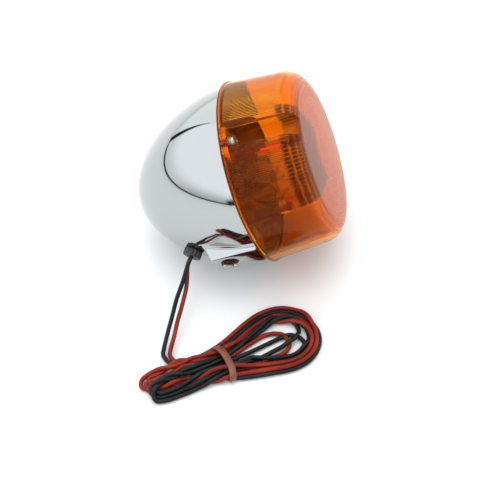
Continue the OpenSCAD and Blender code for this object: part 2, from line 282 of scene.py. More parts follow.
# %% Materials of rubber, vinyl and fibre
def soft(name, light, dark, scale, rough, depth, **constants):
    """Rubber, vinyl or fibre: two tones in soft clouds, and a peel of that depth in metres."""
    def paint(graph):
        place = graph.object_place()
        cloud = graph.noise(place, scale, 4.0)
        peel = graph.noise(place, scale * 9, 3.0)
        return {"Base Color": graph.mix(graph.ramp(cloud, 0.3, 0.75), dark, light),
                "Roughness": graph.ramp(peel, 0.3, 0.8, rough * 0.75, rough * 1.25),
                "Normal": bump(graph, peel, depth, 0.5)}
    return material(name, paint, **constants)


rubber = soft("black_rubber", (0.032, 0.032, 0.034), (0.012, 0.012, 0.013), 220, 0.5, 0.00005)
red_vinyl = soft("red_vinyl", (0.235, 0.021, 0.011), (0.13, 0.010, 0.005), 90, 0.42, 0.00003,
                 Specular_IOR_Level=0.18)
black_vinyl = soft("black_vinyl", (0.010, 0.012, 0.011), (0.003, 0.004, 0.004), 90, 0.40, 0.00003,
                   Specular_IOR_Level=0.2)
band_rubber = soft("band_rubber", (0.185, 0.050, 0.019), (0.11, 0.026, 0.010), 160, 0.42, 0.00004,
                   Subsurface_Weight=0.15, Subsurface_Radius=(0.002, 0.001, 0.0005))
fibre = soft("pressed_fibre", (0.24, 0.13, 0.07), (0.13, 0.07, 0.035), 420, 0.7, 0.00006)
black_glass = soft("black_glass", (0.02, 0.02, 0.03), (0.01, 0.01, 0.014), 300, 0.12, 0.00001)
print("soft finishes:", [m.name for m in (rubber, red_vinyl, black_vinyl, band_rubber, fibre, black_glass)])


# %% Materials of glass and clear plastic
DEGREES = 180 / math.pi
CHANNEL_TURN = 6
RIB_FROM, RIB_TO, RIBS = 12.0, 56.0, 35
RIB_HALF = (RIB_TO - RIB_FROM) / (2 * RIBS)
RING_PITCH = 2.6


def prism_field(graph, x, y, radius):
    """1 on the wedge of prisms at one side of the face, between the channel and the lower edge."""
    wedge = graph.ramp(y, -7, -6) * graph.ramp(x - 0.92 * y, -13.6, -12.6)
    return wedge * graph.ramp(x, -8, -7) * graph.ramp(radius, 11.6, 12.6)


def paint_amber(graph):
    """Amber, with painted shade in dark lines along the valleys of the ribs and rings, and a nearly black painted
    shade in a tile pattern over the prism field.
    """
    place = graph.object_place()
    flow = graph.noise(place, 45, 3.0)
    ripple = graph.noise(place, 420, 2.0)
    x, y, z = graph.lamp_place()
    radius = (x * x + y * y).math("SQRT")
    angle = y.math("ARCTAN2", x) * DEGREES - CHANNEL_TURN
    folded = angle.math("PINGPONG", 180).math("PINGPONG", 90)
    ribs = (folded - RIB_FROM) / RIB_HALF
    on_side = graph.ramp(z, 26, 30, 1, 0) * folded.band(RIB_FROM, RIB_TO, 0.3)
    rings = (radius / (RING_PITCH / 2)).math("PINGPONG", 1)
    on_face = graph.ramp(z, 31, 32) * graph.ramp(radius, 34, 36, 1, 0)
    # Painted shade: dark lines along the rib valleys on the side and along the rings on the face.
    lines = ribs.math("PINGPONG", 1) * on_side * 0.62 + rings * on_face * 0.75
    front = graph.ramp(z, 25, 27) * graph.ramp(radius, 40.4, 41.4, 1, 0)
    field = prism_field(graph, x, y, radius) * front
    # Painted shade: the prism field is painted nearly black, in a tile pattern of rays and steps.
    rays = (angle / 1.3).math("PINGPONG", 1)
    steps = (radius / 1.1).math("PINGPONG", 1)
    painted_prism_shade = field * (0.4 + 0.6 * graph.ramp(rays, 0.1, 0.4) * graph.ramp(steps, 0.1, 0.4))
    clean = graph.mix(flow, (0.91, 0.385, 0.028), (0.95, 0.445, 0.038))
    amber_with_painted_line_shade = graph.mix(lines, clean, (0.46, 0.10, 0.008))
    return {"Base Color": graph.mix(painted_prism_shade, amber_with_painted_line_shade, (0.07, 0.04, 0.032)),
            "Roughness": graph.ramp(ripple, 0.3, 0.8, 0.03, 0.07) + 0.08 * on_face + 0.04 * on_side,
            "Normal": bump(graph, flow, 0.00015, 0.35)}


def amber_haze(graph):
    """The rings on the face scatter the light, so the face is milky, and a little on the ribbed side."""
    x, y, z = graph.lamp_place()
    radius = (x * x + y * y).math("SQRT")
    face = graph.ramp(z, 30, 32.5)
    prisms = prism_field(graph, x, y, radius)
    rings = (radius / (RING_PITCH / 2)).math("PINGPONG", 1)
    return face * (0.20 + 0.34 * rings) * (1 - 0.75 * prisms) + 0.035


def paint_clear(graph):
    """Clear glass with a faint drift in its tint and its polish."""
    place = graph.object_place()
    flow = graph.noise(place, 120, 2.0)
    return {"Base Color": graph.mix(flow, (0.97, 0.985, 0.98), (0.93, 0.95, 0.95)),
            "Roughness": graph.ramp(flow, 0.2, 0.8, 0.0, 0.03)}


amber = material("amber_plastic", paint_amber, Transmission_Weight=1.0, IOR=1.24,
                 Specular_Tint=(1.0, 0.50, 0.30, 1))
add_haze(amber, amber_haze, (0.62, 0.115, 0.018, 1), 0.5)
clear_glass = material("clear_glass", paint_clear, Transmission_Weight=1.0, IOR=1.5)
print("clear finishes:", amber.name, clear_glass.name)

# %% [markdown]
# ## Shape helpers
#
# Most pieces are turned shapes, so one function spins an outline about the lamp's axis. A cord is a
# bevelled curve. Every object stays at the origin, with its place in its mesh.

# %% Shape helpers
FOLD_ANGLE = math.radians(32)


def add_object(name, data):
    made = bpy.data.objects.new(name, data)
    bpy.context.scene.collection.objects.link(made)
    return made


def finish_mesh(mesh, sharp=FOLD_ANGLE):
    """Faces turned outwards and shaded smooth, with creases kept."""
    work = bmesh.new()
    work.from_mesh(mesh)
    bmesh.ops.remove_doubles(work, verts=work.verts, dist=1e-7)
    bmesh.ops.dissolve_degenerate(work, edges=work.edges, dist=1e-8)
    bmesh.ops.recalc_face_normals(work, faces=work.faces)
    work.to_mesh(mesh)
    work.free()
    mesh.polygons.foreach_set("use_smooth", [True] * len(mesh.polygons))
    mesh.set_sharp_from_angle(angle=sharp)


def mesh_object(name, points, faces, look, sharp=FOLD_ANGLE):
    """A closed mesh from points in metres."""
    mesh = bpy.data.meshes.new(name)
    mesh.from_pydata([tuple(p) for p in points], [], [tuple(f) for f in faces])
    mesh.materials.append(look)
    finish_mesh(mesh, sharp)
    return add_object(name, mesh)


def turned(outline, segments=96, axis_at=(0, 0)):
    """Points on the lamp's axes, in millimetres, and faces, of a closed outline of (r, z) spun round."""
    r, z = np.array(outline, float).T
    turn = np.arange(segments) * 2 * math.pi / segments
    ring = np.stack([np.cos(turn), np.sin(turn)], 1)
    points = np.zeros((len(r), segments, 3))
    points[:, :, :2] = r[:, None, None] * ring[None] + np.array(axis_at)
    points[:, :, 2] = z[:, None]
    faces = []
    for i in range(len(r)):
        j = (i + 1) % len(r)
        if r[i] < 1e-9 and r[j] < 1e-9:
            continue
        for k in range(segments):
            n = (k + 1) % segments
            faces.append((i * segments + k, i * segments + n, j * segments + n, j * segments + k))
    return points.reshape(-1, 3), faces


def grid_faces(rows, columns):
    """The faces of a grid that closes on itself both ways, row after row."""
    return [(i * columns + k, i * columns + (k + 1) % columns,
             (i + 1) % rows * columns + (k + 1) % columns, (i + 1) % rows * columns + k)
            for i in range(rows) for k in range(columns)]


def join_shapes(shapes):
    """Several (points, faces) as one."""
    points, faces, start = [], [], 0
    for p, f in shapes:
        points.append(np.asarray(p, float))
        faces += [tuple(i + start for i in face) for face in f]
        start += len(p)
    return np.concatenate(points), faces


def turned_object(name, outline, look, segments=96, places=((0, 0),)):
    """One outline spun round the lamp's axis, or round each of several places beside it."""
    shape = join_shapes([turned(outline, segments, at) for at in places])
    return mesh_object(name, lamp_array(shape[0]), shape[1], look)


def arc(cx, cz, radius, start, end, steps):
    """Points of a round stretch of an outline, angles in degrees."""
    return [(cx + radius * math.cos(math.radians(a)), cz + radius * math.sin(math.radians(a)))
            for a in np.linspace(start, end, steps + 1)]


def cord_curve(name, points, diameter, look):
    """A round cord along points in metres."""
    data = bpy.data.curves.new(name, "CURVE")
    data.dimensions = "3D"
    data.bevel_depth = diameter / 2
    data.bevel_resolution = 3
    data.use_fill_caps = True
    spline = data.splines.new("POLY")
    spline.points.add(len(points) - 1)
    spline.points.foreach_set("co", np.column_stack([points, np.ones(len(points))]).ravel())
    data.materials.append(look)
    return add_object(name, data)


def smooth_route(points, spacing):
    """A Catmull-Rom curve through the points, with new points that far apart."""
    p = np.array(points, float)
    p = np.vstack([2 * p[0] - p[1], p, 2 * p[-1] - p[-2]])
    t = np.linspace(0, 1, 24, endpoint=False)[:, None]
    fine = []
    for a, b, c, d in zip(p, p[1:], p[2:], p[3:]):
        curved = (2 * a - 5 * b + 4 * c - d) * t ** 2 + (3 * b - 3 * c + d - a) * t ** 3
        fine.append(0.5 * (2 * b + (c - a) * t + curved))
    return evenly(np.vstack([*fine, p[-2:-1]]), spacing)


def evenly(p, spacing):
    """The same line with its points spread evenly along it."""
    along = np.concatenate([[0], np.cumsum(np.linalg.norm(np.diff(p, axis=0), axis=1))])
    at = np.linspace(0, along[-1], max(2, round(along[-1] / spacing) + 1))
    return np.stack([np.interp(at, along, p[:, k]) for k in range(3)], 1)


print("shape helpers ready")

# %% [markdown]
# ## Geometry Nodes helpers
#
# What repeats on the lamp is made by Geometry Nodes trees: coils and threads, the lobes of the grommet,
# and the ribs and rings pressed into the inside of the lens. Each tree is built here with named inputs,
# run once, and its result kept as a plain mesh.

# %% Geometry Nodes helpers
def geometry_tree(name, inputs, build):
    """A new tree. build(graph, values) gets the named inputs and returns the geometry it ends with."""
    tree = bpy.data.node_groups.new(name, "GeometryNodeTree")
    tree.interface.new_socket("Geometry", in_out="INPUT", socket_type="NodeSocketGeometry")
    for key, start in inputs.items():
        socket = tree.interface.new_socket(key, in_out="INPUT", socket_type="NodeSocketFloat")
        socket.default_value = start
    tree.interface.new_socket("Material", in_out="INPUT", socket_type="NodeSocketMaterial")
    tree.interface.new_socket("Geometry", in_out="OUTPUT", socket_type="NodeSocketGeometry")
    graph = Graph(tree)
    start = tree.nodes.new("NodeGroupInput")
    values = {socket.name: Value(graph, socket) for socket in start.outputs if socket.name}
    made = build(graph, values)
    made = graph.node("GeometryNodeRealizeInstances", {}, {"Geometry": made})
    made = graph.node("GeometryNodeSetMaterial", {}, {"Geometry": made, "Material": values["Material"]})
    end = tree.nodes.new("NodeGroupOutput")
    tree.links.new(made.socket, end.inputs["Geometry"])
    return tree


def run_tree(made, tree, look, inputs, place=None):
    """Runs a tree on an object and keeps its result as the object's own mesh."""
    modifier = made.modifiers.new(tree.name, "NODES")
    modifier.node_group = tree
    for item in tree.interface.items_tree:
        if item.in_out == "INPUT" and item.name in inputs:
            modifier[item.identifier] = float(inputs[item.name])
        if item.in_out == "INPUT" and item.name == "Material":
            modifier[item.identifier] = look
    graph = bpy.context.evaluated_depsgraph_get()
    mesh = bpy.data.meshes.new_from_object(made.evaluated_get(graph))
    made.modifiers.clear()
    made.data = mesh
    if place is not None:
        mesh.transform(place)
    finish_mesh(mesh)
    return made


def build_coil(graph, values):
    """A round wire wound about +Z, from z = 0 upwards."""
    path = graph.node("GeometryNodeCurveSpiral", {}, {
        "Resolution": 40, "Rotations": values["Turns"], "Start Radius": values["Radius"],
        "End Radius": values["Radius"], "Height": values["Height"]})
    wire = graph.node("GeometryNodeCurvePrimitiveCircle", {},
                      {"Resolution": 12, "Radius": values["Wire"] / 2})
    return graph.node("GeometryNodeCurveToMesh", {},
                      {"Curve": path, "Profile Curve": wire, "Fill Caps": True})


def build_lobes(graph, values):
    """The rim of a turned piece pressed in between a number of lobes."""
    place = graph.node("GeometryNodeInputPosition")
    x, y = (graph.node("ShaderNodeSeparateXYZ", {}, {"Vector": place}, out=k) for k in (0, 1))
    radius = (x * x + y * y).math("SQRT")
    wave = (y.math("ARCTAN2", x) * values["Count"] / 2).math("SINE").math("ABSOLUTE")
    share = 1 - values["Depth"] * graph.ramp(radius, values["From"], values["From"] + 0.6) * (1 - wave)
    flat = graph.node("ShaderNodeCombineXYZ", {}, {"X": x * (share - 1), "Y": y * (share - 1)})
    return graph.node("GeometryNodeSetPosition", {}, {"Geometry": values["Geometry"], "Offset": flat})


coil_tree = geometry_tree("coil", {"Radius": 5.0, "Wire": 0.9, "Turns": 4.0, "Height": 8.0}, build_coil)
lobe_tree = geometry_tree("lobes", {"Count": 12.0, "Depth": 0.1, "From": 3.0}, build_lobes)
lamp_rows = [[MM * SIDE[k], MM * BOSS[k], MM * AXIS[k], SEAM[k]] for k in range(3)]
LAMP_FRAME = Matrix([*lamp_rows, [0, 0, 0, 1]])


def lamp_place(x, y, z, turn=None):
    """Where a shape made about its own +Z goes on the lamp, in millimetres."""
    return LAMP_FRAME @ Matrix.Translation((x, y, z)) @ (turn or Matrix.Identity(4))


def coil(name, radius, wire, turns, height, place, look):
    """A wound wire, made about its own +Z and then moved to its place."""
    made = add_object(name, bpy.data.meshes.new(name))
    sizes = {"Radius": radius, "Wire": wire, "Turns": turns, "Height": height}
    return run_tree(made, coil_tree, look, sizes, place)


print("trees:", [t.name for t in bpy.data.node_groups])

# %% [markdown]
# ## Housing
#
# The housing is one casting: a bullet shell with a boss for the threaded stem, two lugs for the lens
# screws and two posts for the bracket. The shell's outline is a rounded curve that falls faster and
# faster towards the nose. The boss grows out of the shell with a small fillet, has a slanted rear end
# and a flat chamfered face.

# %% Shell
SHELL_R, SHELL_LEN, WALL, SEAM_GAP = 41.8, 56.6, 2.4, 0.8
SIDE_POWER, NOSE_POWER = 1.76, 1.914
RIM_CHAMFER = 0.25


def shell_r(z, radius=SHELL_R, length=SHELL_LEN):
    """Radius of the bullet-shaped shell at a height on the lamp's axis."""
    return radius * (1 - min(-z / length, 1) ** SIDE_POWER) ** (1 / NOSE_POWER)


def shell_z(r, radius=SHELL_R - WALL / 2, length=SHELL_LEN - WALL / 2):
    """The height at which the middle of the shell's wall has a radius."""
    return -length * (1 - (r / radius) ** NOSE_POWER) ** (1 / SIDE_POWER)


def bullet(radius, length, steps=64):
    """The shell's outline from its rim to its nose."""
    angles = np.radians(np.linspace(0, 90, steps + 1))
    zs = [min(-length * math.sin(a), -SEAM_GAP) for a in angles]
    return [(shell_r(z, radius, length), z) for z in zs]


outer = bullet(SHELL_R, SHELL_LEN)
inner = bullet(SHELL_R - WALL, SHELL_LEN - WALL)
rim = [(inner[0][0] + RIM_CHAMFER, -SEAM_GAP), (outer[0][0] - RIM_CHAMFER, -SEAM_GAP)]
outer[0] = (outer[0][0], -SEAM_GAP - RIM_CHAMFER)
inner[0] = (inner[0][0], -SEAM_GAP - RIM_CHAMFER)
shell = mesh_object("housing_shell", *turned(rim + outer + inner[::-1], 192), chrome)
print("shell faces before the holes:", len(shell.data.polygons))


# %% Holes in the shell
def cut(made, points, faces):
    """The object with a closed shape taken out of it, all in lamp millimetres."""
    tool_mesh = bpy.data.meshes.new("cutter")
    tool_mesh.from_pydata([tuple(p) for p in points], [], faces)
    finish_mesh(tool_mesh)
    tool = add_object("cutter", tool_mesh)
    modifier = made.modifiers.new("cut", "BOOLEAN")
    modifier.operation = "DIFFERENCE"
    modifier.solver = "EXACT"
    modifier.object = tool
    graph = bpy.context.evaluated_depsgraph_get()
    mesh = bpy.data.meshes.new_from_object(made.evaluated_get(graph))
    made.modifiers.clear()
    bpy.data.objects.remove(tool)
    made.data = mesh
    finish_mesh(mesh)


def rod(radius, start, end, segments=48):
    """A cylinder between two points."""
    start, end = np.array(start, float), np.array(end, float)
    along = (end - start) / np.linalg.norm(end - start)
    across = np.cross(along, (1, 0, 0) if abs(along[0]) < 0.9 else (0, 1, 0))
    across /= np.linalg.norm(across)
    other = np.cross(along, across)
    a = np.arange(segments) * 2 * math.pi / segments
    ring = radius * (np.cos(a)[:, None] * across + np.sin(a)[:, None] * other)
    n = segments
    sides = [(k, (k + 1) % n, n + (k + 1) % n, n + k) for k in range(n)]
    return np.vstack([start + ring, end + ring]), [*sides, tuple(range(n))[::-1], tuple(range(n, 2 * n))]


GROMMET_Z = -33.0
grommet_slope = math.atan(shell_r(GROMMET_Z + 0.5) - shell_r(GROMMET_Z - 0.5))
grommet_way = np.array([0, math.cos(grommet_slope), -math.sin(grommet_slope)])
grommet_seat = np.array([0, shell_r(GROMMET_Z), GROMMET_Z])
HOLE_Z, HOLE_R = -15.9, 3.97
cut(shell, *rod(4.4, (0, 20, HOLE_Z), (0, 50, HOLE_Z)))
cut(shell, *rod(2.9, grommet_seat - 8 * grommet_way, grommet_seat + 4 * grommet_way))
print("shell faces with the holes:", len(shell.data.polygons))

# %% Boss
BOSS_W, BOSS_FACE, BOSS_LEN, BOSS_FOOT = 13.0, 43.3, 23.7, 31.0


def rounded_box(half, back, front, corner):
    """Points round a box seen along the boss, with the way that each one faces."""
    points, facing = [], []
    corners = [(half, front, 0.25, 0), (-half, front, 0.25, 90),
               (-half, back, corner, 180), (half, back, corner, 270)]
    for x, z, r, start in corners:
        cx, cz = x - math.copysign(r, x), z - (r if z == front else -r)
        for a in np.radians(np.linspace(start, start + 90, 9)):
            spot = (cx + r * math.cos(a), cz + r * math.sin(a))
            if points and abs(a - math.radians(start)) < 1e-9:
                bridge_points(points, facing, spot)
            points.append(spot)
            facing.append((math.cos(a), math.sin(a)))
    bridge_points(points, facing, points[0])
    return np.array(points), np.array(facing)


def bridge_points(points, facing, spot, extra=9):
    """Extra points on the straight edge from the last point to a spot."""
    last = np.array(points[-1])
    for k in range(1, extra + 1):
        points.append(tuple(last + (np.array(spot) - last) * k / (extra + 1)))
        facing.append(facing[-1])


def boss_back(y):
    """Where the boss ends towards the nose, which slants."""
    return -BOSS_LEN - 3.6 * np.clip((BOSS_FACE - 1.2 - y) / 9.1, 0, 1.1)


def boss_ring(y, out, count):
    """The boss's outline at a height for each point, moved outwards by out."""
    ring = []
    for k in range(count):
        points, facing = rounded_box(BOSS_W / 2, boss_back(y[k]), -SEAM_GAP, 1.5)
        spot = points[k] + out * facing[k]
        ring.append((spot[0], y[k], min(spot[1], -SEAM_GAP)))
    return np.array(ring)


def on_shell(out, rise, count):
    """The outline where it stands on the shell, moved out, and raised above the shell."""
    y = np.full(count, 40.0)
    for _ in range(12):
        ring = boss_ring(y, out, count)
        y = np.array([math.sqrt(shell_r(p[2]) ** 2 - p[0] ** 2) for p in ring]) + rise
    return boss_ring(y, out, count)


count = len(rounded_box(1, -2, 0, 0.1)[0])
skirt = [on_shell(out, rise, count) for out, rise in (
    (2.3, -0.35), (2.0, 0.02), (1.3, 0.16), (0.65, 0.45), (0.2, 1.0), (0.0, 1.5))]
for k, ring in enumerate(reversed(skirt)):
    ring[:, 1] = np.minimum(ring[:, 1], BOSS_FACE - 0.8 - 0.02 * k)
rings = [boss_ring(np.full(count, BOSS_FOOT), 0, count), on_shell(0, -1.3, count), *skirt]
top = np.full(count, BOSS_FACE)
rings += [boss_ring(top - 0.7, 0, count), boss_ring(top - 0.2, -0.2, count), boss_ring(top, -0.65, count)]
facing = np.array([(p[0], p[2] - HOLE_Z) for p in rings[-1]])
facing /= np.linalg.norm(facing, axis=1)[:, None]
bore = ((4.5, BOSS_FACE), (HOLE_R, BOSS_FACE - 0.5), (HOLE_R, BOSS_FOOT + 0.5), (4.5, BOSS_FOOT))
for radius, y in bore:
    across, along = (radius * facing).T
    rings.append(np.column_stack([across, np.full(count, y), HOLE_Z + along]))
boss_faces = grid_faces(len(rings), count)
boss = mesh_object("housing_boss", np.vstack(rings), boss_faces, chrome, math.radians(40))
print("boss faces:", len(boss.data.polygons))

# %% Lugs and posts
SCREW_AT, POST_AT = 36.6, 20


def inside_shell(points, depth):
    """The points pulled in so that none comes nearer to the shell's outside than depth."""
    kept = np.array(points, float)
    for p in kept:
        reach = shell_r(min(p[2], 0)) - depth
        far = math.hypot(p[0], p[1])
        if far > reach:
            p[:2] *= reach / far
    return kept


screw_spots = [(SCREW_AT * math.cos(math.radians(a)), SCREW_AT * math.sin(math.radians(a)))
               for a in (CHANNEL_TURN, CHANNEL_TURN + 180)]
lug = [(0, -14), (3.2, -14), (4, -13.2), (4, -SEAM_GAP), (2.2, -SEAM_GAP), (2, -1.1), (2, -12), (0, -12.4)]
lug_shapes = [turned(lug, 48, spot) for spot in screw_spots]
fixings = [(inside_shell(p, 0.6), f) for p, f in lug_shapes]
post = [(0, -50), (4, -50), (4, -28.4), (3.6, -28), (1.7, -28), (1.5, -28.3), (1.5, -35.5), (0, -36)]
post_spots = [(-POST_AT, 0), (POST_AT, 0)]
for spot in post_spots:
    ring, faces = turned(post, 48, spot)
    low = ring[:, 2] < -45
    ring[low, 2] = [shell_z(math.hypot(x, y)) for x, y in ring[low, :2]]
    fixings.append((ring, faces))
fixings_object = mesh_object("housing_fixings", *join_shapes(fixings), chrome)
print("lugs at", np.round(screw_spots, 1).tolist(), "posts at", post_spots)


# %% One casting and its thread
def merge(name, parts):
    """Several objects as one, moved from lamp millimetres to the row frame."""
    work = bmesh.new()
    looks = []
    for part in parts:
        first = len(work.faces)
        work.from_mesh(part.data)
        work.faces.ensure_lookup_table()
        for face in work.faces[first:]:
            look = part.data.materials[face.material_index]
            if look not in looks:
                looks.append(look)
            face.material_index = looks.index(look)
    mesh = bpy.data.meshes.new(name)
    work.to_mesh(mesh)
    work.free()
    for look in looks:
        mesh.materials.append(look)
    for part in parts:
        bpy.data.objects.remove(part)
    mesh.transform(LAMP_FRAME)
    return add_object(name, mesh)


def leave_unplated(made):
    """The inside of the casting and the walls of the threaded hole stay unplated."""
    made.data.materials.append(raw_casting)
    made.data.materials.append(raw_thread)
    for face in made.data.polygons:
        x, y, z = face.center
        middle = shell_r(min(z, -SEAM_GAP), SHELL_R - WALL / 2, SHELL_LEN - WALL / 2)
        in_nose = z <= 1 - SHELL_LEN + WALL / 2
        if math.hypot(x, y) < middle - 0.05 and not in_nose:
            face.material_index = 1
        if y > BOSS_FOOT and math.hypot(x, z - HOLE_Z) < HOLE_R + 0.1:
            face.material_index = 2


for part in (shell, boss, fixings_object):
    leave_unplated(part)
housing = merge("housing_casting", [shell, boss, fixings_object])
THREAD_PITCH, THREAD_TURNS = 1.41, 7.8
thread_way = Matrix.Rotation(-math.pi / 2, 4, "X")
thread = coil("stem_thread_ridge", HOLE_R - 0.1, 0.75, THREAD_TURNS, THREAD_TURNS * THREAD_PITCH,
              lamp_place(0, BOSS_FOOT + 0.7, HOLE_Z, thread_way), raw_thread)
for piece in (housing, thread):
    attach(piece, "lamp")
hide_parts("housing")
print("housing faces:", len(housing.data.polygons), "thread faces:", len(thread.data.polygons))

# %% [markdown]
# ## Lens
#
# The lens is a closed grid: columns run up the outside, over the face and down the inside. A screw
# channel is a flat-backed groove, so its columns are held back at its rear wall, and the columns on its
# edges are doubled. Then the pressed optics are added inside: fine upright ribs in four sectors of the
# side, and rings in the face.

# %% Lens grid
LENS_R, CORNER_R, CORNER_Z, FACE_RISE = 43.0, 9.7, 25.1, 0.8
CORNER_AT, LENS_WALL, LENS_DRAFT = 31.1, 2.4, 2.2
CHANNEL_BACK, CHANNEL_W, CHANNEL_FLOOR = 33.0, 9.0, 3.2
LENS_BEAD = [(42.3, 0), (42.3, -0.35), (42.6, -0.55), (43.1, -0.55), (43.38, -0.25), (43.4, 0.55),
             (43.2, 0.95), (42.86, 1.1), (42.8, 1.5)]


def lens_side(z, inset=0.0):
    """Radius of the lens's side, which tapers by the draft towards the front corner."""
    return LENS_R - inset - (z + 1) / (CORNER_Z + 1) * LENS_DRAFT


def corner_rows(radius, start, end, steps, outside, ribbed):
    """Rows round the front corner, between two angles in degrees."""
    rows = []
    for a in np.radians(np.linspace(start, end, steps)):
        share = max(0, math.cos(a) * 2 - 1) if ribbed else 0
        rows.append((CORNER_AT + radius * math.cos(a), CORNER_Z + radius * math.sin(a), outside, share, 0))
    return rows


def lens_columns():
    """Half the columns: (kind, place, doubled side). Kind y is a distance across the channel, kind a an
    angle from it in degrees."""
    edge = CHANNEL_W / 2
    half = [("y", y, 0) for y in (0.0, 1.6, 3.2)]
    half += [("y", edge, -1), ("y", edge, 1), ("y", edge + 1, 1), ("y", edge + 2, 1), ("y", edge + 2, 2)]
    half += [("a", RIB_FROM + RIB_HALF * k, 2) for k in range(2 * RIBS + 1)]
    half += [("a", a, 2) for a in np.linspace(RIB_TO, 90, 13)[1:]]
    mirrored = [(kind, -place, side) for kind, place, side in half[:0:-1]]
    return mirrored[1:] + half


def lens_rows():
    """(radius, height, outside, rib share, ring share) from the rim over the outside and back inside."""
    rows = [(r, z, True, 0, 0) for r, z in LENS_BEAD]
    heights = (2.4, CHANNEL_FLOOR - 0.001, CHANNEL_FLOOR, 6, 10, 14, 18, 22)
    rows += [(lens_side(z), z, True, 0, 0) for z in heights]
    rows += corner_rows(CORNER_R, 0, 90, 19, True, False)
    top = CORNER_Z + CORNER_R
    rows += [(CORNER_AT * s, top + FACE_RISE * (1 - s * s), True, 0, 0) for s in np.linspace(0.94, 0, 14)]
    for k in range(int(CORNER_AT / (RING_PITCH / 4))):
        r = k * RING_PITCH / 4
        rise = FACE_RISE * (1 - (r / CORNER_AT) ** 2)
        rows.append((r, top - LENS_WALL + rise, False, 0, 1 if r > 1 else 0))
    rows += corner_rows(CORNER_R - LENS_WALL, 88, 0, 15, False, True)
    rows += [(lens_side(z, LENS_WALL), z, False, 1, 0) for z in (20, 14, 8, 4, 1.5, 0.7)]
    rows += [(lens_side(0, LENS_WALL), 0, False, 0, 0)]
    return rows


def lens_point(column, row, turn):
    """Where a column and a row of the grid meet, on the half of the lens turned by that angle."""
    kind, place, side = column
    r, z, outside = row[:3]
    if kind == "a":
        x, y = r * math.cos(math.radians(place)), r * math.sin(math.radians(place))
    else:
        y = place if r > CHANNEL_BACK else place * r / CHANNEL_BACK
        x = math.sqrt(r * r - y * y)
        back = CHANNEL_BACK if outside else CHANNEL_BACK - 2
        held = (side < 1 and z >= CHANNEL_FLOOR) if outside else side < 2
        if held:
            x = min(x, back)
    c, s = math.cos(turn), math.sin(turn)
    return (c * x - s * y, s * x + c * y, z)


columns, rows = lens_columns(), lens_rows()
turns = [math.radians(CHANNEL_TURN), math.radians(CHANNEL_TURN + 180)]
lens_points = [lens_point(column, row, turn) for turn in turns for column in columns for row in rows]
n_rows, n_columns = len(rows), 2 * len(columns)
lens = add_object("amber_lens", bpy.data.meshes.new("amber_lens"))
lens.data.from_pydata(lens_points, [], grid_faces(n_columns, n_rows))
for name, k in (("rib", 3), ("ring", 4)):
    share = lens.data.attributes.new(name, "FLOAT", "POINT")
    in_ribs = [0 if name == "rib" and (kind == "y" or not RIB_FROM < abs(place) < RIB_TO) else 1
               for kind, place, side in columns] * 2
    share.data.foreach_set("value", [row[k] * in_ribs[c] for c in range(n_columns) for row in rows])
print("lens grid:", n_columns, "columns,", n_rows, "rows")


# %% Pressed optics
def build_optics(graph, values):
    """Ribs pressed in along the side and rings in the face, where the grid's shares allow them."""
    place = graph.node("GeometryNodeInputPosition")
    x, y = (graph.node("ShaderNodeSeparateXYZ", {}, {"Vector": place}, out=k) for k in (0, 1))
    radius = (x * x + y * y).math("SQRT")
    angle = y.math("ARCTAN2", x) * DEGREES - values["Channel turn"]
    folded = angle.math("PINGPONG", 180).math("PINGPONG", 90)
    ribs = ((folded - values["Rib start"]) / values["Rib half pitch"]).math("PINGPONG", 1)
    rings = (radius / values["Ring half pitch"]).math("PINGPONG", 1)
    rib_share, ring_share = (
        graph.node("GeometryNodeInputNamedAttribute", {"data_type": "FLOAT"}, {"Name": name})
        for name in ("rib", "ring"))
    inward = -1 * values["Rib depth"] * ribs * rib_share / radius.math("MAXIMUM", 1)
    down = -1 * values["Ring depth"] * rings * ring_share
    offset = graph.node("ShaderNodeCombineXYZ", {}, {"X": x * inward, "Y": y * inward, "Z": down})
    return graph.node("GeometryNodeSetPosition", {}, {"Geometry": values["Geometry"], "Offset": offset})


optics = {"Channel turn": CHANNEL_TURN, "Rib start": RIB_FROM, "Rib half pitch": RIB_HALF,
          "Rib depth": 0.2, "Ring half pitch": RING_PITCH / 2, "Ring depth": 0.35}
optics_tree = geometry_tree("pressed_optics", optics, build_optics)
run_tree(lens, optics_tree, amber, optics)
for spot in screw_spots:
    cut(lens, *rod(2.2, (*spot, -1), (*spot, 6)))
lens.data.transform(LAMP_FRAME)
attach(lens, "lens_cover")
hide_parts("lens")
print("lens faces:", len(lens.data.polygons))

# %% Gasket
gasket_outline = [(39.7, -0.75), (41.3, -0.75), (41.55, -0.4), (41.3, -0.05), (39.7, -0.05), (39.5, -0.4)]
gasket = turned_object("seam_gasket", gasket_outline, rubber, 192)
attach(gasket, "lamp")
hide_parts("lens_gasket")
print("gasket faces:", len(gasket.data.polygons))

# %% [markdown]
# ## Screws
#
# Cross-recess screws with domed heads hold the lens and the bracket. The recess is sunk into the head
# with four tapered arms.

# %% Screws
def screw_head(radius, height, z):
    """A domed head: outline from its underside up over the dome."""
    dome = [(radius * math.cos(a), z + height * 0.35 + height * 0.65 * math.sin(a))
            for a in np.radians(np.linspace(0, 90, 11))]
    return [(0, z), (radius * 0.97, z), (radius, z + 0.12), *dome[:-1], (0, z + height)]


def cross_recess(radius, depth, top, turn, spot):
    """Four tapered arms that narrow downwards, to be cut out of a head."""
    shapes = []
    for side in (0, 90):
        a = math.radians(turn + side)
        along, across = np.array([math.cos(a), math.sin(a)]), np.array([-math.sin(a), math.cos(a)])
        points = []
        for z, l, w in ((top - depth, radius * 0.35, 0.22), (top + 1, radius * 1.05, 0.46)):
            for sx, sy in ((1, 1), (-1, 1), (-1, -1), (1, -1)):
                points.append((*(np.array(spot) + sx * l * along + sy * w * across), z))
        faces = [(3, 2, 1, 0), (4, 5, 6, 7), (0, 1, 5, 4), (1, 2, 6, 5), (2, 3, 7, 6), (3, 0, 4, 7)]
        shapes.append((np.array(points), faces))
    return shapes


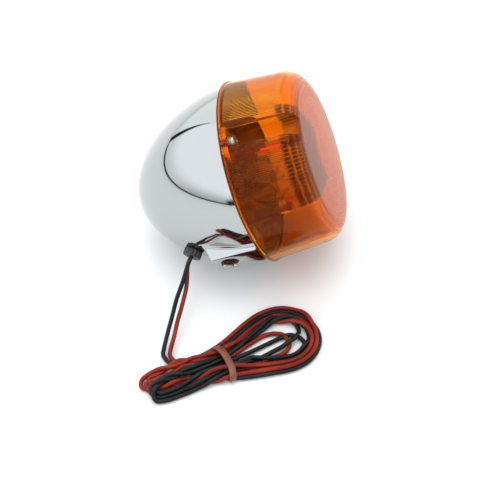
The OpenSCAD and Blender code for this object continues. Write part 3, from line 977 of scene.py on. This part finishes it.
def screws(name, spots, head, shank_r, shank_end, turns_at, look):
    """Screws as one object. A head is given as its radius, its height and the height it sits at."""
    parts = []
    head_r, head_h, head_z = head
    thread_len = head_z - shank_end - 1.6
    shank_outline = [(0, shank_end), (shank_r * 0.5, shank_end), (shank_r * 0.8, shank_end + 0.6),
                     (shank_r * 0.8, head_z + 0.1), (0, head_z + 0.1)]
    for spot, turn in zip(spots, turns_at):
        head = mesh_object("head", *turned(screw_head(head_r, head_h, head_z), 48, spot), look)
        for points, faces in cross_recess(head_r * 0.62, head_h * 0.62, head_z + head_h, turn, spot):
            cut(head, points, faces)
        shank = mesh_object("shank", *turned(shank_outline, 32, spot), look)
        ridge = coil("ridge", shank_r * 0.82, shank_r * 0.36, thread_len / 0.75, thread_len,
                     Matrix.Translation((*spot, shank_end + 0.9)), look)
        parts += [head, shank, ridge]
    return merge(name, parts)


lens_screws = screws("lens_screws_cross", screw_spots, (3.2, 2.2, CHANNEL_FLOOR + 0.6), 1.9, -11.2,
                     (35, 72), zinc)
bracket_screws = screws("bracket_screws_cross", post_spots, (2.8, 2.0, -26.8), 1.45, -34.3, (30, 12), zinc)
washer_outline = [(1.95, 3.2), (3.5, 3.2), (3.6, 3.3), (3.6, 3.7), (3.5, 3.8), (1.95, 3.8)]
washers = turned_object("lens_screw_washers_flat", washer_outline, zinc, 48, screw_spots)
for piece, node, body in ((lens_screws, "lens_screws", "lens_cover"),
                          (washers, "lens_screw_washers", "lens_cover"),
                          (bracket_screws, "bracket_screws", "lamp")):
    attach(piece, body)
    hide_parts(node)
print("screw faces:", len(lens_screws.data.polygons), len(bracket_screws.data.polygons))

# %% [markdown]
# ## Bulb, socket and contact
#
# A single-contact bayonet bulb stands in a steel socket. Its coiled filament hangs between two
# supports on a glass stem. A spring presses the contact plate, with the stud that the red lead ends in,
# against the bulb.

# %% Bulb
GLOBE_R, GLOBE_Z, NECK_R, GLASS = 13.0, 6.0, 6.6, 0.7
neck_angle = math.degrees(math.asin(NECK_R / GLOBE_R))
globe_out = arc(0, GLOBE_Z, GLOBE_R, -90 + neck_angle, 90, 36)
globe_in = arc(0, GLOBE_Z, GLOBE_R - GLASS, 90, -90 + neck_angle, 36)
glass_outline = [(NECK_R - GLASS, -27.5), (NECK_R - 0.2, -27.5), (NECK_R, -27.3), *globe_out, *globe_in]
glass = turned_object("bulb_envelope", glass_outline, clear_glass)
stem_outline = [(0, -25.5), (2.6, -25.5), (2.6, -13), (2.2, -10.5), (1.4, -7), (0.8, -6.5), (0, -6.5)]
stem = turned_object("bulb_stem_glass", stem_outline, clear_glass, 48)
cap_outline = [(3.4, -31.5), (6.3, -31.5), (7.2, -31.2), (7.5, -30.5), (7.5, -15.2), (7.7, -14.9),
               (7.6, -14.5), (7.1, -14.5), (7.1, -30.3), (6.3, -31.1), (3.4, -31.1)]
cap = turned_object("bulb_cap_brass", cap_outline, brass)
pin_shapes = []
for side in (-1, 1):
    shape = turned([(0, 7.4), (1, 7.4), (1, 8.5), (0.8, 8.85), (0, 8.9)], 24)
    turned_up = np.column_stack([side * shape[0][:, 2], shape[0][:, 1], shape[0][:, 0] * side + PIN_Z])
    pin_shapes.append((turned_up, shape[1]))
pin_points, pin_faces = join_shapes(pin_shapes)
pins = mesh_object("bulb_locating_pins", lamp_array(pin_points), pin_faces, brass)
insulator_outline = [(1.6, -31.8), (3.0, -31.7), (3.4, -31.4), (3.4, -30.3), (1.6, -30.3)]
insulator = turned_object("bulb_base_glass", insulator_outline, black_glass, 48)
bead_outline = [(0, -30.5), (1.6, -30.5), (1.6, -31.9), (1.3, -32.25), (0.7, -32.5), (0, -32.54)]
contact_bead = turned_object("bulb_contact_solder", bead_outline, solder, 48)
print("bulb parts:", [o.name for o in (glass, stem, cap, pins, insulator, contact_bead)])

# %% Filament
coil_way = Matrix.Rotation(math.pi / 2, 4, "Y")
filament_coil = coil("coil", 0.42, 0.16, 22, 8.2, Matrix.Translation((-4.1, 0, 8.2)) @ coil_way, tungsten)
supports = []
for side in (-1, 1):
    wires = [rod(0.22, (side * 0.8, 0, -6.4), (side * 1.6, 0, 0), 16),
             rod(0.22, (side * 1.6, 0, -0.1), (side * 4.2, 0, 8.2), 16)]
    supports.append(mesh_object("support", *join_shapes(wires), tungsten))
filament = merge("bulb_filament_coil", [filament_coil, *supports])
for piece, node, slot in ((glass, "bulb_glass", "clear_glass"), (stem, "bulb_stem", "clear_glass"),
                          (cap, "bulb_cap", "brass"), (pins, "bulb_pins", "brass"),
                          (insulator, "bulb_insulator", "black_glass"),
                          (contact_bead, "bulb_contact", "solder"),
                          (filament, "bulb_filament", "tungsten")):
    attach(piece, "bulb")
    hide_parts(node)
print("filament faces:", len(filament.data.polygons))

# %% Socket and contact
coil_spring = coil("contact_spring_coil", 5.2, 0.9, 4, 7.26, lamp_place(0, 0, -42.73), spring_steel)
end_outline = [(1.6, -44.7), (7.6, -44.7), (7.7, -44.6), (7.7, -43.3), (7.6, -43.2), (1.6, -43.2)]
end_washer = turned_object("socket_end_fibre", end_outline, fibre, 72)
plate_outline = [(2, -35), (7.3, -35), (7.4, -34.9), (7.4, -33.6), (7.3, -33.5), (2, -33.5)]
plate = turned_object("contact_plate_fibre", plate_outline, fibre, 72)
stud_outline = [(1.4, -38.5), (1.9, -38.5), (2, -38.4), (2, -33.0), (1.7, -32.6), (0, -32.6), (0, -34.2),
                (1.4, -34.2)]
stud = turned_object("contact_stud_brass", stud_outline, brass, 48)
for piece, node, slot, body in ((end_washer, "socket_end_washer", "fibre", "lamp"),
                                (plate, "contact_plate", "fibre", "contact"),
                                (stud, "contact_stud", "brass", "contact")):
    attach(piece, body)
    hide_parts(node)
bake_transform(coil_spring)
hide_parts("contact_spring")
print("socket pieces:", [o.name for o in (coil_spring, end_washer, plate, stud)])

# %% [markdown]
# ## Grommet
#
# The leads leave the dome through a soft grommet with a lobed rim.

# %% Grommet
grommet_outline = [(0, -4.1), (3.3, -4.1), (3.7, -3.8), (3.7, -3.2), (3.4, -2.9), (2.88, -2.85),
                   (2.88, -0.1), (4.0, 0.02), (4.35, 0.3), (4.45, 0.9), (4.45, 2.4), (4.3, 3.0),
                   (3.9, 3.36), (3.0, 3.42), (0, 3.42)]
grommet = mesh_object("wire_grommet_lobed", *turned(grommet_outline, 144), rubber)
grommet_turn = Matrix.Translation(grommet_seat) @ Matrix.Rotation(-math.pi / 2 - grommet_slope, 4, "X")
run_tree(grommet, lobe_tree, rubber, {"Count": 12, "Depth": 0.11, "From": 3.75}, LAMP_FRAME @ grommet_turn)
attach(grommet, "lamp")
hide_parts("wire_grommet")
print("grommet faces:", len(grommet.data.polygons))

# %% Pieces that keep their CAD shape
plain = {"socket_bracket": (zinc, "zinc_steel"), "socket_shell": (zinc, "zinc_steel"),
         "ground_terminal": (brass, "brass"), "inner_red_lead": (red_vinyl, "red_pvc"),
         "inner_black_lead": (black_vinyl, "black_pvc")}
for node, (look, slot) in plain.items():
    nodes[node].data.materials.clear()
    nodes[node].data.materials.append(look)
print("CAD shapes kept:", sorted(plain))

# %% [markdown]
# ## The two leads
#
# Each lead is about 0.72 m of thin vinyl-covered wire. It leaves the dome through the grommet, drops to
# the table and is folded into a hank with a rubber band round its waist. The free stretch repeats the
# route that the CAD model has. The folds are worked out by a loop over the turns, and then settled: a
# small calculation pushes wires apart where they overlap and lets them sink to the table, which lays
# one turn over the next as real wires lie.

# %% Route of the free stretch
LEAD_D = 2.1
GROMMET_FLANGE = 3.52
exit_at = lamp_array([grommet_seat + GROMMET_FLANGE * grommet_way])[0] / MM
exit_side = np.array([-0.09, 0.45, -0.89])
out = np.array(math.cos(grommet_slope) * BOSS - math.sin(grommet_slope) * AXIS)
black_exit = exit_at - 0.6 * LEAD_D * exit_side
red_exit = exit_at + 0.6 * LEAD_D * exit_side
black_route = [black_exit, black_exit + 4 * out, (-27.5, -44.5, 17), (-30.5, -52, 12.5), (-32.5, -59, 8.5),
               (-34.5, -66, 5), (-36, -72.5, 2.5), (-36.5, -77, 1.4), (-35.5, -81, 1.1)]
red_route = [red_exit, red_exit + 4 * out, (-26, -45.5, 14.5), (-28, -54, 10.5), (-30, -61, 7.5),
             (-31.5, -68, 5), (-33, -74, 3), (-33.3, -78.5, 1.6), (-32.5, -81, 1.1)]
print("leads leave at", np.round(exit_at, 1))

# %% Route of the folds
TAIL, WAIST, LOOP = (np.array(p, float) for p in ((-38, -93), (-8, -81), (18, -66)))
HIGH, LOW = 3.15, 1.1


def unit(v):
    """The direction of a vector."""
    return v / np.linalg.norm(v)


def left_of(v):
    """The direction at a right angle to the left."""
    return np.array([-v[1], v[0]])


along_tail, along_loop = unit(WAIST - TAIL), unit(LOOP - WAIST)
along_waist = unit(along_tail + along_loop)
side_tail, side_loop, side_waist = (left_of(v) for v in (along_tail, along_loop, along_waist))

# One row for each turn, in order from the lead: place across the waist going out and its height,
# place coming back and its height, radius of the loop and where its middle lies from the hank's, and
# the fold at the tail after it: its middle across, its half width and how far its tip reaches.
RED_TURNS = [(5.3, LOW, -3.5, LOW, 15.6, (1.2, -1.0), 3.2, 4.4, 2.0),
             (8.6, HIGH, -6.8, HIGH, 18.0, (-0.7, 0.9), 4.0, 4.3, 4.6),
             (6.4, HIGH, -2.4, HIGH, 14.6, (1.2, -1.2), 1.8, 4.2, 2.8),
             (3.1, LOW, -5.7, LOW, 8.6, (-3.5, -3.5), None, 1.5, 0)]
BLACK_TURNS = [(0.9, LOW, -1.3, LOW, 8.2, (5.5, -4.0), -3.0, 4.2, 2.2),
               (4.2, HIGH, -0.2, HIGH, 13.0, (2.2, 1.2), -2.2, 4.3, 0.8),
               (2.0, HIGH, -4.6, HIGH, 9.6, (0.5, 4.5), -4.0, 4.2, 3.0),
               (7.5, LOW, -7.9, LOW, 17.9, (0.9, -0.7), None, -2.2, 0)]


def turn_points(turn, before, tail_z):
    """One turn of the hank, out along its upper side, round the loop, back, and round its fold."""
    up, up_z, down, down_z, radius, shift, middle, half, tip = turn
    heart = LOOP + np.array(shift)
    leave = up if before is None else (up + before[6] + before[7]) / 2
    points = [(*((TAIL + WAIST) / 2 + leave * side_tail), up_z), (*(WAIST + up * side_waist), up_z)]
    for angle in range(150, -106, -17):
        spot = heart + radius * np.array([math.cos(math.radians(angle)), math.sin(math.radians(angle))])
        share = (150 - angle) / 256
        points.append((*spot, up_z + (down_z - up_z) * share))
    points += [(*((WAIST + heart) / 2 - 0.5 * (radius - down) * side_loop), down_z),
               (*(WAIST + down * side_waist), down_z)]
    if middle is None:
        points.append((*(WAIST - 7 * along_tail + (down + half) / 2 * side_tail), LOW))
        points.append((*(WAIST - 13 * along_tail + half * side_tail), LOW))
        return points
    points.append((*((TAIL + WAIST) / 2 + (down + middle - half) / 2 * side_tail), tail_z))
    for angle in range(-75, 76, 25):
        a = math.radians(angle)
        spot = TAIL + middle * side_tail - tip * along_tail
        spot = spot + half * (math.sin(a) * side_tail - math.cos(a) * along_tail)
        points.append((*spot, tail_z))
    return points


def lead_route(free, turns, tail_z):
    """The whole lead: its free stretch, then its turns, as one smooth line."""
    folds = [p for turn, before in zip(turns, [None, *turns]) for p in turn_points(turn, before, tail_z)]
    return smooth_route([*free, *folds], 1.9)


rough_routes = [lead_route(black_route, BLACK_TURNS, HIGH), lead_route(red_route, RED_TURNS, LOW)]
print("points before settling:", [len(r) for r in rough_routes])

# %% Settling
SETTLE_ROUNDS = 420
PUSH, PULL, STIFFNESS = 0.32, 0.25, 0.30
SINK, HOMING, LARGEST_STEP = 0.035, 0.012, 0.4


def settle(routes, held):
    """The routes with overlapping wires pushed apart and the rest sunk to the table. The first held
    points of each route stay where they are."""
    count = [len(r) for r in routes]
    p = np.vstack(routes)
    start = p.copy()
    ends = np.cumsum(count)
    owner = np.repeat(range(len(routes)), count)
    place = np.concatenate([np.arange(c) for c in count])
    free = place >= np.repeat(held, count)
    link = (owner[1:] == owner[:-1])
    rest = np.linalg.norm(np.diff(p, axis=0), axis=1)
    near_self = (owner[:, None] == owner[None]) & (abs(place[:, None] - place[None]) < 5)
    reach = 1.05 * LEAD_D
    for _ in range(SETTLE_ROUNDS):
        move = np.zeros_like(p)
        gap = p[:, None] - p[None]
        far = np.sqrt((gap ** 2).sum(2)) + 1e-9
        touch = (far < reach) & ~near_self
        i, j = np.nonzero(touch)
        push = (reach - far[i, j])[:, None] * gap[i, j] / far[i, j][:, None]
        push[:, 2] *= 1.5
        np.add.at(move, i, PUSH * push)
        span = np.diff(p, axis=0)
        long = np.linalg.norm(span, axis=1)
        pull = (PULL * (long - rest) / long * link)[:, None] * span
        move[:-1] += pull
        move[1:] -= pull
        middle = np.zeros_like(p)
        both = link[1:] & link[:-1]
        middle[1:-1][both] = ((p[:-2] + p[2:]) / 2 - p[1:-1])[both]
        move += STIFFNESS * middle
        move[:, 2] -= SINK
        move[:, :2] += HOMING * (start - p)[:, :2]
        p[free] += np.clip(move, -LARGEST_STEP, LARGEST_STEP)[free]
        p[:, 2] = np.maximum(p[:, 2], LEAD_D / 2)
    return np.split(p, ends[:-1])


free_points = [np.linalg.norm(r - np.array(route[-2]), axis=1).argmin()
               for r, route in zip(rough_routes, (black_route, red_route))]
black_line, red_line = settle(rough_routes, free_points)


def length_of(line):
    """Length along a line, in its own unit."""
    return float(np.linalg.norm(np.diff(line, axis=0), axis=1).sum())


print("lead lengths, mm:", round(length_of(black_line)), round(length_of(red_line)),
      "highest wire:", round(float(max(black_line[40:, 2].max(), red_line[40:, 2].max())), 1))

# %% Rubber band
BAND_HALF, BAND_MIDDLE = 8.9, 2.75
BAND_SECTION = [(-1.6, 0.15), (-1.1, 0.0), (1.1, 0.0), (1.6, 0.15), (1.6, 0.75), (1.1, 0.95),
                (-1.1, 0.95), (-1.6, 0.75)]


def band_shape(sides=72):
    """A flat band round the waist: a stretched ring whose top bows forwards."""
    points = []
    for k in range(sides):
        a = 2 * math.pi * k / sides
        c, s = math.cos(a), math.sin(a)
        across = BAND_HALF * math.copysign(abs(c) ** 0.72, c)
        height = BAND_MIDDLE + BAND_MIDDLE * math.copysign(abs(s) ** 0.75, s)
        bow = 1.7 * (1 - c * c) * (1 if s > 0 else 0.2) - 0.6
        for width, skin in BAND_SECTION:
            spot = WAIST + (across + skin * c) * side_waist + (width + bow) * along_waist
            points.append((spot[0] * MM, spot[1] * MM, max(height + skin * s, 0.03) * MM))
    return points, grid_faces(sides, len(BAND_SECTION))


band = mesh_object("hank_band_ring", *band_shape(), band_rubber)
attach(band, "lamp")
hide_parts("hank_band")
print("band faces:", len(band.data.polygons))

# %% Leads as cords
def stripped_end(name, line, look):
    """A few millimetres of bare copper past the end of a lead."""
    end, before = line[-1], line[-3]
    ahead = unit(end - before)
    points = [(end + ahead * s) * MM for s in (-0.5, 2, 4.5, 6)]
    return cord_curve(name, np.array(points), 1.1 * MM, look)


leads = {}
for color, line, look, solids in (("black", black_line, black_vinyl, ["black_lead", "lead_hank"]),
                                  ("red", red_line, red_vinyl, ["red_lead"])):
    lead = cord_curve(color + "_lead_wire", smooth_route(line, 1.3) * MM, LEAD_D * MM, look)
    bare = stripped_end(color + "_bare_end", line, copper)
    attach(lead, "lamp")
    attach(bare, "lamp")
    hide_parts(*solids)
    color + "_pvc"
    line[0] * MM
    [bare, band] if color == "black" else [bare]
    leads[color] = lead
print("cords:", [o.name for o in leads.values()])

# %% [markdown]
# ## Floor and light
#
# The floor is a plain pale sheet. Chrome shows whatever stands round it, so the studio has large soft
# sources and a few dark flags: their reflections draw the bright patch and the dark lines on the shell.

# %% Floor
def paint_paper(graph):
    """Plain pale paper, with a faint cloud in it."""
    cloud = graph.noise(graph.object_place(), 18)
    return {"Base Color": graph.mix(cloud, (0.79, 0.79, 0.79), (0.82, 0.82, 0.82))}


paper = material("paper", paint_paper, Roughness=0.9)
FLOOR_R, FLOOR_Z, FLOOR_SIDES = 3, -0.0004, 96
floor_turns = [2 * math.pi * k / FLOOR_SIDES for k in range(FLOOR_SIDES)]
floor_points = [(FLOOR_R * math.cos(a), FLOOR_R * math.sin(a), FLOOR_Z) for a in floor_turns]
floor = mesh_object("floor", floor_points, [tuple(range(FLOOR_SIDES))], paper)
print("floor:", floor.name, "radius", FLOOR_R, "m")

# %% Studio walls
world = bpy.data.worlds.new("studio")
bpy.context.scene.world = world
world.use_nodes = True


def paint_studio(graph):
    """White walls, with the dark gap above the table's edge and the dark edges of two wall panels."""
    way = graph.node("ShaderNodeTexCoord")
    x, y, z = (graph.node("ShaderNodeSeparateXYZ", {}, {"Vector": way}, out=k) for k in range(3))
    azimuth = y.math("ARCTAN2", x) * DEGREES
    rise = z.math("ARCSINE") * DEGREES
    past = azimuth.math("WRAP", 360, 0)
    gap = rise.band(-7, 0.4, 0.5) * past.band(143, 243, 5)
    edge_width = graph.ramp(rise, 2, 30, 2.3, 0.4)
    edge = graph.ramp((past - 140.5).math("ABSOLUTE") - edge_width, -0.8, 0.8, 1, 0) * rise.band(-4, 31, 2)
    corner = past.band(239, 262, 3) * rise.band(-8, 5, 3)
    dark = gap.math("MAXIMUM", edge).math("MAXIMUM", corner)
    far_panel = graph.ramp(rise, -2, 16) * past.band(141, 250, 2)
    near_panel = past.band(90, 141, 3) * graph.ramp(rise, -1, 6)
    wall = graph.mix(far_panel, (1.12, 1.15, 1.15), (1.66, 1.70, 1.77))
    wall = graph.mix(near_panel, wall, (1.55, 1.62, 1.61))
    by_table = graph.ramp(rise, -2, 13, 1, 0) * graph.ramp(past, 180, 215)
    low = graph.mix(by_table, (1, 1, 1), (0.66, 0.67, 0.69))
    return graph.mix(dark, graph.mix(1.0, wall, low, "MULTIPLY"), (0.02, 0.025, 0.025))


studio = paint_studio(Graph(world.node_tree))
world.node_tree.links.new(studio.socket, world.node_tree.nodes["Background"].inputs["Color"])
print("studio nodes:", len(world.node_tree.nodes))

# %% Light
light_data = bpy.data.lights.new("top_light", "AREA")
light_data.size = 1.4
light_data.energy = 11
light = add_object("top_light", light_data)
light.location = (0.1, 0.2, 1.6)
light.rotation_euler = (-light.location).to_track_quat("-Z", "Y").to_euler()
bpy.context.scene.view_settings.view_transform = "Standard"
print("light at", [round(v, 2) for v in light.location])
